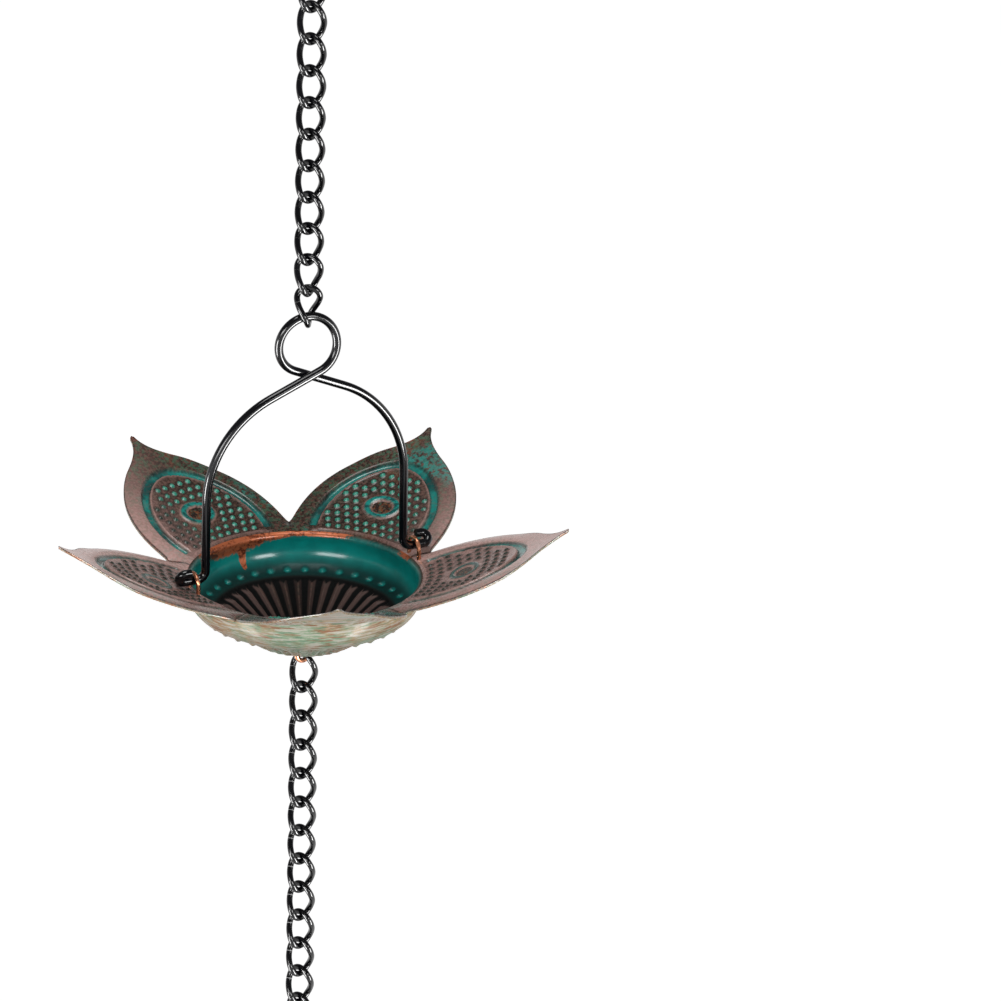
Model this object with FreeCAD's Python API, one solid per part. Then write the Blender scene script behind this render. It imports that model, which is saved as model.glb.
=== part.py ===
import FreeCAD, Part
import math
import os

# One length of rain chain: a run of twisted curb links carries a wire bail, the bail carries a pressed
# five-petal flower cup on two wire eyelets, and a second run of links hangs from a loop under the cup.
# +Z is up, X runs along the axis that the cup tilts on, and the origin is the bearing point inside the
# top bend of the highest link. Lengths are millimetres and angles degrees.

# Curb chain
link_wire = 1.8
link_width = 8.4
link_pitch = 9.1
link_play = 0.1
link_twist = 90.0
link_seam = 0.12
link_seam_height = 1.4
link_path_steps = 40
upper_links = 11
lower_links = 13
chain_turn = -23.4
last_links_turn = (8.0, 20.0, 40.0)

# Bail
bail_wire = 2.5
bail_ring_radius = 8.45
bail_cross_slope = 22.73
bail_height = 65.8
bail_bend = 2.6
bail_leg_inset = 1.0
bail_crossing_gap = 0.2
ring_play = 0.25
hook_turn_radius = 1.7
hook_return = 1.6
hook_lean_left = 118.0
hook_lean_right = 136.0
hook_clearance = 0.4
hook_overhang = 1.0

# Flower cup: bowl
sheet = 0.7
rim_radius = 32.0
rim_flange = 3.0
wall_bulge = 0.9
wall_bulge_drop = 3.6
step_inset = 5.2
step_drop = 10.0
flutes = 36
flute_depth = 0.9
ledge_inset = 3.7
ledge_drop = 0.4
ledge_width = 5.9
ledge_fall = 2.0
floor_radius = 13.4
floor_drop = 18.8
drain_holes = 4
drain_diameter = 3.5
drain_reach = 9.0

# Flower cup: petals
petals = 5
petal_length = 43.5
petal_rise = 21.2
petal_dish = 1.8
petal_half_width = 23.3
petal_shoulder = 8.6
petal_knee_half = 8.9
petal_point_length = 9.1
petal_point_half = 0.8
petal_point_sweep = 1.9
groove_inset = 5.2
groove_width = 2.2
groove_depth = 0.5
groove_root = 4.6
groove_corner = 3.0
eye_reach = 13.9
eye_length = 8.6
eye_width = 11.2
eye_ridge = 1.5
eye_height = 0.4

# Eyelets and bottom loop
eyelet_wire = 1.2
eyelet_half_width = 3.2
eyelet_headroom = 0.3
eyelet_gap = 0.35
eyelet_foot = 2.6
loop_wire = 1.4
loop_half_width = 3.2
loop_hang = 25.6
loop_turn = 21.6
loop_foot = 3.2
wire_hole_play = 0.25
seat_play = 0.1


def circle_through(a, b, c):
    """Centre and radius of the circle through three points of a plane."""
    (ax, ay), (bx, by), (cx, cy) = a, b, c
    d = 2 * (ax * (by - cy) + bx * (cy - ay) + cx * (ay - by))
    sa, sb, sc = ax * ax + ay * ay, bx * bx + by * by, cx * cx + cy * cy
    x = (sa * (by - cy) + sb * (cy - ay) + sc * (ay - by)) / d
    y = (sa * (cx - bx) + sb * (ax - cx) + sc * (bx - ax)) / d
    return x, y, math.hypot(ax - x, ay - y)


# Section of the petals: the middle of the sheet is an arc that rises from the rim to the tips
tip_radius = rim_radius + petal_length
petal_x, petal_z, petal_r = circle_through(
    (rim_radius, 0.0),
    (rim_radius + petal_length / 2, petal_rise / 2 - petal_dish),
    (tip_radius, petal_rise),
)


def petal_height(radius):
    """Height of the middle of the petal sheet above the rim, at a distance from the axis."""
    return petal_z - math.sqrt(petal_r ** 2 - (radius - petal_x) ** 2)


def petal_slope(radius):
    """Angle of the petal sheet above level, at a distance from the axis."""
    return math.asin((radius - petal_x) / petal_r)


# Plan of a petal along +X: round sides, widest at the shoulder, that end where the point begins
shoulder_x = rim_radius + petal_shoulder
knee_x = tip_radius - petal_point_length
side_run = knee_x - shoulder_x
side_fall = petal_half_width - petal_knee_half
side_radius = (side_run ** 2 + side_fall ** 2) / (2 * side_fall)
side_y = petal_half_width - side_radius

# Places along the tilting axis, and heights above the rim
leg_x = rim_radius - bail_leg_inset
eyelet_x = leg_x + bail_bend + eyelet_gap + eyelet_wire / 2
hook_end_x = eyelet_x + eyelet_wire / 2 + hook_overhang
hook_turn_x = hook_end_x + hook_return
hook_reach = hook_turn_x + hook_turn_radius
pivot_z = petal_height(hook_reach) + sheet / 2 + hook_clearance + bail_wire / 2
ring_z = pivot_z + bail_height
bail_ring_drop = (leg_x + bail_ring_radius) / math.cos(math.radians(bail_cross_slope))
floor_sheet = sheet * math.hypot(1, (floor_drop - step_drop - ledge_drop - ledge_fall)
                                 / (rim_radius - ledge_inset - ledge_width - floor_radius))
floor_z = -floor_drop + floor_sheet

# Heights of the link centres above the rim, and of the rim below the origin
link_bend = (link_width - link_wire) / 2
link_length = link_pitch + link_wire + link_play
link_leg = link_length / 2 - link_bend
last_upper_z = ring_z + bail_ring_radius - (bail_wire + link_wire) / 2 - ring_play + link_length / 2
first_lower_z = -loop_hang + (loop_wire + link_wire) / 2 + link_play - link_length / 2
rim_z = -(last_upper_z + (upper_links - 1) * link_pitch + (link_length - link_wire) / 2)


def vector(x, y, z):
    return FreeCAD.Vector(x, y, z)


def line(a, b):
    return Part.makeLine(a, b)


def arc(a, b, c):
    return Part.Arc(a, b, c).toShape()


def turned(shape, degrees):
    """Copy of a shape turned about the vertical axis."""
    copy = shape.copy()
    copy.rotate(vector(0, 0, 0), vector(0, 0, 1), degrees)
    return copy


def raised(shape, height):
    """Copy of a shape moved straight up."""
    copy = shape.copy()
    copy.translate(vector(0, 0, height))
    return copy


def round_wire(edges, diameter):
    """Solid round wire bent along edges that follow one another."""
    first = edges[0]
    start = first.valueAt(first.FirstParameter)
    heading = first.tangentAt(first.FirstParameter)
    section = Part.Wire([Part.makeCircle(diameter / 2, start, heading)])
    return Part.Wire(edges).makePipeShell([section], True, False)


def curb_link():
    """Link bent from one wire, butted on its left leg, with its two bends turned against each other."""
    straight = 2 * link_leg
    bend = math.pi * link_bend
    around = 2 * (straight + bend)

    def outline(s):
        """Side and height of the untwisted link, a distance along the wire from the top of the left leg."""
        s = s % around
        if s < straight:
            return -link_bend, link_leg - s
        if s < straight + bend:
            t = (s - straight) / link_bend
            return -link_bend * math.cos(t), -link_leg - link_bend * math.sin(t)
        if s < 2 * straight + bend:
            return link_bend, s - straight - bend - link_leg
        t = (s - 2 * straight - bend) / link_bend
        return link_bend * math.cos(t), link_leg + link_bend * math.sin(t)

    begin = link_leg - link_seam_height + link_seam / 2
    points = []
    for i in range(link_path_steps + 1):
        side, height = outline(begin + (around - link_seam) * i / link_path_steps)
        turn = math.radians(-link_twist / 2 * math.sin(math.pi * height / link_length))
        points.append(vector(side * math.cos(turn), side * math.sin(turn), height))
    path = Part.BSplineCurve()
    path.interpolate(Points=points)
    return round_wire([path.toShape()], link_wire)


def tangent_arc(start, heading, end):
    """Points of the arc that leaves a point along a heading and ends at another point."""
    chord = end - start
    inward = heading.cross(chord).cross(heading).normalize()
    radius = chord.Length ** 2 / (2 * chord.dot(inward))
    centre = start + inward * radius
    half_way = ((start - centre) + (end - centre)).normalize()
    return start, centre + half_way * radius, end


def bail_half(hook_lean):
    """Runs and arcs of the left half of the bail, from its cut end to the top of the ring."""
    lean = math.radians(hook_lean)
    rise = math.radians(bail_cross_slope)
    crossing = bail_height - bail_ring_drop * bail_ring_radius / (leg_x + bail_ring_radius)
    tilt = math.asin((bail_wire + bail_crossing_gap) / 2 / crossing)

    def hook(x, away):
        return vector(-x, away * math.cos(lean), pivot_z + away * math.sin(lean))

    def arm(x, height):
        """Point of the arm, which leans forward so that the wire can cross itself."""
        return vector(x, -height * math.sin(tilt), pivot_z + height * math.cos(tilt))

    def arch(a):
        return arm(-leg_x * math.sin(a), bail_height - bail_ring_drop + leg_x * math.cos(a))

    turn_in = hook(hook_turn_x, 2 * hook_turn_radius)
    turn_out = hook(hook_turn_x, 0)
    bend_in = hook(leg_x + bail_bend, 0)
    inside = bail_bend * (1 - math.sqrt(0.5))
    bend_out = arm(-leg_x, bail_bend)
    foot_of_ring = arm(bail_ring_radius * math.sin(rise), bail_height - bail_ring_radius * math.cos(rise))
    heading = (foot_of_ring - arch(rise)).normalize()
    return [
        (hook(hook_end_x, 2 * hook_turn_radius), turn_in),
        (turn_in, hook(hook_turn_x + hook_turn_radius, hook_turn_radius), turn_out),
        (turn_out, bend_in),
        (bend_in, arm(-leg_x - inside, inside), bend_out),
        (bend_out, arch(math.pi / 2)),
        (arch(math.pi / 2), arch((math.pi / 2 + rise) / 2), arch(rise)),
        (arch(rise), foot_of_ring),
        tangent_arc(foot_of_ring, heading, vector(0, 0, ring_z + bail_ring_radius)),
    ]


def bail():
    """Wire handle: two hooked legs, an arch, and a ring where the wire passes in front of itself."""
    left = bail_half(hook_lean_left)
    right = [tuple(vector(-p.x, -p.y, p.z) for p in reversed(points))
             for points in reversed(bail_half(hook_lean_right))]
    edges = [line(*points) if len(points) == 2 else arc(*points) for points in left + right]
    return round_wire(edges, bail_wire)


def staple(half_width, wire, arch_height, foot_height, foot):
    """Wire bow in the YZ plane whose two legs end in feet turned outwards."""
    up = 1 if arch_height > foot_height else -1
    bend = wire
    inside = bend * (1 - math.sqrt(0.5))

    def at(y, z):
        return vector(0, y, z)

    def side(s):
        toe = at(s * (half_width + foot), foot_height)
        heel = at(s * (half_width + bend), foot_height)
        knee = at(s * half_width, foot_height + up * bend)
        middle = at(s * (half_width + inside), foot_height + up * inside)
        return toe, heel, middle, knee, at(s * half_width, arch_height)

    toe_a, heel_a, middle_a, knee_a, top_a = side(-1)
    toe_b, heel_b, middle_b, knee_b, top_b = side(1)
    edges = [
        line(toe_a, heel_a),
        arc(heel_a, middle_a, knee_a),
        line(knee_a, top_a),
        arc(top_a, at(0, arch_height + up * half_width), top_b),
        line(top_b, knee_b),
        arc(knee_b, middle_b, heel_b),
        line(heel_b, toe_b),
    ]
    return round_wire(edges, wire)


def eyelet(side):
    """Staple through the root of the petals that holds one hook of the bail."""
    reach = math.hypot(eyelet_x, eyelet_half_width)
    under = petal_height(reach) - sheet / 2 - (eyelet_wire / 2 + seat_play) / math.cos(petal_slope(reach))
    top = pivot_z + bail_wire / 2 + eyelet_headroom + eyelet_wire / 2
    bow = staple(eyelet_half_width, eyelet_wire, top - eyelet_half_width, under, eyelet_foot)
    bow.translate(vector(side * eyelet_x, 0, 0))
    return bow


def bottom_loop():
    """Staple through the floor of the bowl that carries the lower run of chain."""
    foot_z = floor_z + loop_wire / 2 + seat_play
    bow = staple(loop_half_width, loop_wire, -loop_hang + loop_half_width, foot_z, loop_foot)
    return turned(bow, loop_turn - 90)


def ring_section(x, z, inner, outer, start, end):
    """Band of revolution whose section lies between two arcs about one centre, from one angle to another."""
    def at(r, a):
        return vector(x + r * math.cos(a), 0, z + r * math.sin(a))

    middle = (start + end) / 2
    edges = [
        arc(at(inner, start), at(inner, middle), at(inner, end)),
        line(at(inner, end), at(outer, end)),
        arc(at(outer, end), at(outer, middle), at(outer, start)),
        line(at(outer, start), at(inner, start)),
    ]
    face = Part.Face(Part.Wire(edges))
    return face.revolve(vector(0, 0, 0), vector(0, 0, 1), 360)


def petal_band():
    """Sheet that all petals are cut from."""
    start = petal_slope(rim_radius) - math.pi / 2
    end = petal_slope(tip_radius + sheet) - math.pi / 2
    return ring_section(petal_x, petal_z, petal_r - sheet / 2, petal_r + sheet / 2, start, end)


def bowl_wall():
    """Rounded side of the bowl, from the rim in to the fluted pan."""
    rim = (rim_radius, 0.0)
    step = (rim_radius - step_inset, -step_drop)
    x, z, r = circle_through(rim, (rim_radius + wall_bulge, -wall_bulge_drop), step)
    start = math.atan2(rim[1] - z, rim[0] - x)
    end = math.atan2(step[1] - z, step[0] - x)
    return ring_section(x, z, r, r + sheet, start, end)


def upright(radius, x, y):
    """Upright cylinder, taller than the cup."""
    return Part.makeCylinder(radius, 2 * tip_radius, vector(x, y, -tip_radius))


def scalloped_wire(radius, height, depth):
    """Closed ring of outward scallops, one for each flute."""
    def at(r, step):
        a = 2 * math.pi * step / flutes
        return vector(r * math.cos(a), r * math.sin(a), height)

    low, high = radius - depth / 2, radius + depth / 2
    return Part.Wire([arc(at(low, k), at(high, k + 0.5), at(low, k + 1)) for k in range(flutes)])


def fluted_pan():
    """Lower bowl: a fluted ledge, a fluted cone and a flat floor with drain holes."""
    ledge_r = rim_radius - ledge_inset
    ledge_z = -step_drop - ledge_drop
    cone_r = ledge_r - ledge_width
    wires = [
        scalloped_wire(ledge_r, ledge_z, flute_depth),
        scalloped_wire(cone_r, ledge_z - ledge_fall, flute_depth * cone_r / ledge_r),
        scalloped_wire(floor_radius, -floor_drop, flute_depth * floor_radius / ledge_r),
    ]
    outside = Part.makeLoft(wires, True, True)
    pan = outside.cut(raised(outside, floor_sheet))
    hole = upright(drain_diameter / 2, drain_reach, 0)
    return pan.cut([turned(hole, loop_turn + 360 * (k + 0.5) / drain_holes) for k in range(drain_holes)])


def prism(edges):
    """Upright prism over an outline, taller than the cup."""
    face = Part.Face(Part.Wire(edges))
    return raised(face.extrude(vector(0, 0, 2 * tip_radius)), -tip_radius)


def petal_prism():
    """Upright prism over one petal along +X: round sides that sweep into a point."""
    root = rim_radius - rim_flange
    root_half = side_y + math.sqrt(side_radius ** 2 - (root - shoulder_x) ** 2)
    lean = math.atan2(side_run, petal_knee_half - side_y)
    tangent = (petal_knee_half - petal_point_sweep) / math.sin(lean)
    edges = []
    for s in (-1, 1):
        knee = vector(knee_x, s * petal_knee_half, 0)
        pull = vector(knee_x + tangent * math.cos(lean), s * petal_point_sweep, 0)
        end = vector(tip_radius - petal_point_half, s * petal_point_half, 0)
        sweep = Part.BezierCurve()
        sweep.setPoles([knee, pull, end] if s < 0 else [end, pull, knee])
        side = arc(vector(root, s * root_half, 0), vector(shoulder_x, s * petal_half_width, 0), knee)
        edges += [side, sweep.toShape()] if s < 0 else [sweep.toShape(), side]
    nose = arc(vector(tip_radius - petal_point_half, -petal_point_half, 0), vector(tip_radius, 0, 0),
               vector(tip_radius - petal_point_half, petal_point_half, 0))
    edges.insert(2, nose)
    edges.append(line(vector(root, root_half, 0), vector(root, -root_half, 0)))
    return prism(Part.sortEdges(edges)[0])


def petal_lens(inset):
    """Upright prism over the part of a petal that lies inside its round sides by an inset, with a round point."""
    radius = side_radius - inset
    lens = upright(radius, shoulder_x, -side_y).common(upright(radius, shoulder_x, side_y))
    point = [e for e in lens.Edges if e.BoundBox.ZLength > tip_radius and e.CenterOfMass.x > shoulder_x]
    return lens.makeFillet(groove_corner, point)


def groove_prism():
    """Arch-shaped band that runs up one side of a petal and down the other."""
    band = petal_lens(groove_inset).cut(petal_lens(groove_inset + groove_width))
    return band.cut(upright(rim_radius + groove_root, 0, 0))


def eye_prism():
    """Oval ring in the middle of a petal."""
    def oval(along, across):
        centre = vector(rim_radius + eye_reach, 0, 0)
        if along >= across:
            curve = Part.Ellipse(centre, along / 2, across / 2)
        else:
            curve = Part.Ellipse(centre + vector(0, across / 2, 0), centre + vector(along / 2, 0, 0), centre)
        return prism([curve.toShape()])

    return oval(eye_length, eye_width).cut(oval(eye_length - 2 * eye_ridge, eye_width - 2 * eye_ridge))


def around_petals(shape):
    """Copies of a shape, one on each petal."""
    return [turned(shape, 180 + 360 * k / petals) for k in range(petals)]


def wire_holes():
    """Holes for the legs of the eyelets and of the bottom loop."""
    eyelet_hole = (eyelet_wire + wire_hole_play) / 2
    loop_hole = (loop_wire + wire_hole_play) / 2
    holes = []
    for s in (-1, 1):
        holes.append(upright(eyelet_hole, -eyelet_x, s * eyelet_half_width))
        holes.append(upright(eyelet_hole, eyelet_x, s * eyelet_half_width))
        holes.append(turned(upright(loop_hole, s * loop_half_width, 0), loop_turn))
    return holes


def flower_cup():
    """Bowl and petals pressed from one sheet."""
    band = petal_band()
    shell = band.fuse(bowl_wall())
    outline = upright(rim_radius + rim_flange, 0, 0).fuse(around_petals(petal_prism()))
    shell = shell.common(outline)
    grooves = around_petals(groove_prism())
    eyes = around_petals(eye_prism())
    shell = shell.cut(grooves + eyes)
    pressed = [raised(band, -groove_depth).common(g) for g in grooves]
    pressed += [raised(band, eye_height).common(e) for e in eyes]
    cup = shell.fuse(pressed + [fluted_pan()])
    return cup.cut(wire_holes()).removeSplitter()


def export(name, shape):
    """Write one piece at its place below the origin."""
    raised(shape, rim_z).exportStep("parts/" + name + ".step")


def main():
    os.makedirs("parts", exist_ok=True)
    export("flower_cup", flower_cup())
    export("bail", bail())
    export("eyelet_left", eyelet(-1))
    export("eyelet_right", eyelet(1))
    export("bottom_loop", bottom_loop())
    link = curb_link()
    plain = upper_links - len(last_links_turn)
    for i in range(upper_links):
        turn = chain_turn + (last_links_turn[i - plain] if i >= plain else 0.0)
        height = last_upper_z + (upper_links - 1 - i) * link_pitch
        export("upper_link_%02d" % (i + 1), raised(turned(link, turn), height))
    for i in range(lower_links):
        height = first_lower_z - i * link_pitch
        export("lower_link_%02d" % (i + 1), raised(turned(link, chain_turn), height))


main()
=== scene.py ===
import logging
import math
from dataclasses import dataclass, field
from enum import Enum
from typing import Any, Sequence, Union

import bpy
import numpy as np
from mathutils import Matrix, Vector


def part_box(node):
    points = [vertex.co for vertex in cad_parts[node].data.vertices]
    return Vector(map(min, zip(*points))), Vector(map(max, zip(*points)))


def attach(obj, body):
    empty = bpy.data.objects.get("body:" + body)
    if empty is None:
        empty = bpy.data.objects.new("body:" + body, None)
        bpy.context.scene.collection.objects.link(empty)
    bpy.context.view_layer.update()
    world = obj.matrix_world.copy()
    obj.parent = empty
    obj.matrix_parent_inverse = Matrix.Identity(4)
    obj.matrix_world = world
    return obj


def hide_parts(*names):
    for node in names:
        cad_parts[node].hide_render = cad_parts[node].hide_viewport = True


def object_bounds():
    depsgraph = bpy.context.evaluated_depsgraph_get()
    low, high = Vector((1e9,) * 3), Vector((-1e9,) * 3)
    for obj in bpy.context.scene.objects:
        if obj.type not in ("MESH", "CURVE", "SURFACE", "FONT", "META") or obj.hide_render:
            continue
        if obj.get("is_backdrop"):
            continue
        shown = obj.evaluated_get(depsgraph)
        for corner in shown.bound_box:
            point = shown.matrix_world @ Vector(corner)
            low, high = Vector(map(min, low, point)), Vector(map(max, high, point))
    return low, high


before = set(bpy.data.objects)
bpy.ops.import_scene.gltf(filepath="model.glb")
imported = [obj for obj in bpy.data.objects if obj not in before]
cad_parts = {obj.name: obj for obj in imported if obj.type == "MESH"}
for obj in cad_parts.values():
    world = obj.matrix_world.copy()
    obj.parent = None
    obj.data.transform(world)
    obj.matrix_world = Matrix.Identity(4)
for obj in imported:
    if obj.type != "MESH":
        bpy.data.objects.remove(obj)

log = logging.getLogger("rain_chain")

MM = 0.001
TINY = 1e-6

Colour = tuple[float, float, float]
Number = Union[int, float, "Signal"]


class Zone(Enum):
    """Places on the pressed sheet, each a mesh attribute from 0 to 1 that the patina reads."""

    UNDER = "zone_under"
    BORDER = "zone_border"
    GROOVE = "zone_groove"
    # painted highlight: raised lines tinted pale pink
    LINE = "zone_line_highlight"
    DOT = "zone_dot"
    EYE = "zone_eye"
    PUPIL = "zone_pupil"
    EDGE = "zone_edge"
    WALL = "zone_wall"
    FLUTE = "zone_flute"
    RIDGE = "zone_ridge"
    RIM = "zone_rim"
    # painted shade: mask of recesses that are darkened where shade falls
    HOLLOW_SHADE = "zone_hollow_shade"
    # rubbed copper and a painted sheen on two sides of the flower
    RUB_AND_SHEEN = "zone_rub_and_sheen"


Masks = dict[Zone, np.ndarray]


class Signal:
    """A value in a node tree that can be used in Python expressions."""

    def __init__(self, sheet: "NodeSheet", socket: bpy.types.NodeSocket) -> None:
        """Wrap one output socket of a sheet's node."""
        self.sheet = sheet
        self.socket = socket

    def _math(self, operation: str, first: Number, second: Number = 0.0) -> "Signal":
        """Add a Math node.

        Args:
            operation: Blender's name of the operation.
            first: The upper operand.
            second: The lower operand.

        Returns:
            The node's value.
        """
        node = self.sheet.node("ShaderNodeMath", {"operation": operation}, {0: first, 1: second})
        return Signal(self.sheet, node.outputs[0])

    def __add__(self, other: Number) -> "Signal":
        """self + other."""
        return self._math("ADD", self, other)

    def __radd__(self, other: Number) -> "Signal":
        """other + self."""
        return self._math("ADD", other, self)

    def __sub__(self, other: Number) -> "Signal":
        """self - other."""
        return self._math("SUBTRACT", self, other)

    def __rsub__(self, other: Number) -> "Signal":
        """other - self."""
        return self._math("SUBTRACT", other, self)

    def __mul__(self, other: Number) -> "Signal":
        """self * other."""
        return self._math("MULTIPLY", self, other)

    def __rmul__(self, other: Number) -> "Signal":
        """other * self."""
        return self._math("MULTIPLY", other, self)

    def larger(self, other: Number) -> "Signal":
        """The larger of two values."""
        return self._math("MAXIMUM", self, other)

    def root(self) -> "Signal":
        """The value's square root."""
        return self._math("SQRT", self)

    def bearing(self, other: Number) -> "Signal":
        """Angle in radians whose tangent is this value over the other."""
        return self._math("ARCTAN2", self, other)

    def ramp(self, low: float, high: float) -> "Signal":
        """Smooth step of the value.

        Args:
            low: Where the step is 0.
            high: Where the step is 1; it may lie below low.

        Returns:
            A mask from 0 to 1.
        """
        start, end = (low, high) if low < high else (high, low)
        node = self.sheet.node(
            "ShaderNodeMapRange",
            {"interpolation_type": "SMOOTHSTEP"},
            {0: self, 1: start, 2: end, 3: 0.0, 4: 1.0},
        )
        step = Signal(self.sheet, node.outputs[0])
        return step if low < high else 1.0 - step


Signals = dict[Zone, Signal]


class NodeSheet:
    """The node tree of one material or world."""

    def __init__(self, owner: Union[bpy.types.Material, bpy.types.World]) -> None:
        """Start with an empty tree.

        Args:
            owner: The material or world that the tree belongs to.
        """
        self.owner = owner
        owner.use_nodes = True
        self.tree = owner.node_tree
        self.tree.nodes.clear()

    @classmethod
    def material(cls, name: str) -> "NodeSheet":
        """A sheet for a new material."""
        return cls(bpy.data.materials.new(name))

    def node(
        self, kind: str, settings: dict[str, Any] | None = None, inputs: dict[Any, Any] | None = None
    ) -> bpy.types.Node:
        """Add one node.

        Args:
            kind: The node's type.
            settings: Its properties, set first.
            inputs: Values or links of its sockets, by name or index.

        Returns:
            The node.
        """
        made = self.tree.nodes.new(kind)
        for key, value in (settings or {}).items():
            setattr(made, key, value)
        for key, value in (inputs or {}).items():
            source = value.socket if isinstance(value, Signal) else value
            if isinstance(source, bpy.types.NodeSocket):
                self.tree.links.new(source, made.inputs[key])
            elif isinstance(source, tuple) and made.inputs[key].type == "RGBA":
                made.inputs[key].default_value = (*source, 1.0)
            else:
                made.inputs[key].default_value = source
        return made

    def zone(self, zone: Zone) -> Signal:
        """The mask of one place on the sheet."""
        return Signal(self, self.node("ShaderNodeAttribute", {"attribute_name": zone.value}).outputs["Fac"])

    def place(self) -> bpy.types.NodeSocket:
        """The piece's own coordinates, in metres."""
        return self.node("ShaderNodeTexCoord").outputs["Object"]

    def stretched(self, factors: Colour) -> bpy.types.NodeSocket:
        """The piece's own coordinates, scaled along each axis."""
        inputs = {0: self.place(), 1: factors}
        return self.node("ShaderNodeVectorMath", {"operation": "MULTIPLY"}, inputs).outputs[0]

    def around(self, turn: float, rise: float) -> bpy.types.NodeSocket:
        """Coordinates that follow the cup round.

        Args:
            turn: Scale of the angle about the vertical axis.
            rise: Scale of the height and of the distance from the axis.

        Returns:
            A vector socket.
        """
        parts = self.node("ShaderNodeSeparateXYZ", None, {0: self.place()})
        x, y, z = (Signal(self, out) for out in parts.outputs)
        angle = y.bearing(x)
        away = (x * x + y * y).root()
        inputs = {0: angle * turn, 1: z * rise, 2: away * rise}
        return self.node("ShaderNodeCombineXYZ", None, inputs).outputs[0]

    def noise(
        self, vector: bpy.types.NodeSocket, scale: float, detail: float = 3.0, rough: float = 0.55
    ) -> Signal:
        """Fractal noise from 0 to 1.

        Args:
            vector: Where to read it.
            scale: Its frequency.
            detail: How many finer layers it has.
            rough: How strong those are.

        Returns:
            The noise.
        """
        inputs = {"Vector": vector, "Scale": scale, "Detail": detail, "Roughness": rough}
        return Signal(self, self.node("ShaderNodeTexNoise", None, inputs).outputs["Fac"])

    def mix(self, mask: Number, first: Any, second: Any) -> bpy.types.NodeSocket:
        """Blend two colours.

        Args:
            mask: 0 gives the first, 1 the second.
            first: A colour or a colour socket.
            second: A colour or a colour socket.

        Returns:
            The blended colour.
        """
        node = self.node("ShaderNodeMix", {"data_type": "RGBA"}, {0: mask, 6: first, 7: second})
        return node.outputs[2]

    def bump(self, height: Signal, depth: float) -> bpy.types.NodeSocket:
        """Normal of a surface whose height varies by a depth in metres."""
        inputs = {"Strength": 1.0, "Distance": depth, "Height": height}
        return self.node("ShaderNodeBump", None, inputs).outputs[0]

    def finish(self, **inputs: Any) -> bpy.types.Material:
        """Close the tree with a principled surface.

        Args:
            **inputs: Its sockets, with underscores for spaces.

        Returns:
            The material.
        """
        named = {key.replace("_", " "): value for key, value in inputs.items()}
        surface = self.node("ShaderNodeBsdfPrincipled", None, named)
        self.node("ShaderNodeOutputMaterial", None, {"Surface": surface.outputs[0]})
        return self.owner


@dataclass(frozen=True)
class GlossEnamel:
    """Black enamel with a hard gloss, as dipped wire has it."""

    colour: Colour = (0.0012, 0.0012, 0.002)
    dust: Colour = (0.004, 0.004, 0.006)
    gloss: float = 0.1
    dull: float = 0.18
    drift_scale: float = 50.0
    pore_scale: float = 300.0
    level: float = 0.42
    coat: float = 0.1
    coat_gloss: float = 0.05

    def material(self) -> bpy.types.Material:
        """The finish as a material.

        Returns:
            The material.
        """
        sheet = NodeSheet.material("gloss_enamel")
        drift = sheet.noise(sheet.place(), self.drift_scale)
        pores = sheet.noise(sheet.place(), self.pore_scale)
        return sheet.finish(
            Base_Color=sheet.mix(drift.ramp(0.4, 0.75), self.colour, self.dust),
            Roughness=self.gloss + (self.dull - self.gloss) * drift.ramp(0.35, 0.8),
            Specular_IOR_Level=self.level,
            Coat_Weight=self.coat * pores.ramp(0.2, 0.4),
            Coat_Roughness=self.coat_gloss,
        )


@dataclass(frozen=True)
class CopperWire:
    """Bright drawn copper wire with darker tarnish."""

    bright: Colour = (0.78, 0.33, 0.18)
    tarnish: Colour = (0.3, 0.11, 0.06)
    stain_scale: float = 420.0
    drawn_scale: float = 2520.0
    drawn_stretch: Colour = (1.0, 1.0, 0.15)
    drawn_depth: float = 0.00002
    gloss: float = 0.22
    dulling: float = 0.2
    masking: float = 0.25

    def material(self) -> bpy.types.Material:
        """The finish as a material.

        Returns:
            The material.
        """
        sheet = NodeSheet.material("copper_wire")
        stain = sheet.noise(sheet.place(), self.stain_scale).ramp(0.42, 0.7)
        drawn = sheet.noise(sheet.stretched(self.drawn_stretch), self.drawn_scale)
        return sheet.finish(
            Base_Color=sheet.mix(stain, self.bright, self.tarnish),
            Metallic=1.0 - self.masking * stain,
            Roughness=self.gloss + self.dulling * stain,
            Normal=sheet.bump(drawn, self.drawn_depth),
        )


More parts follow.
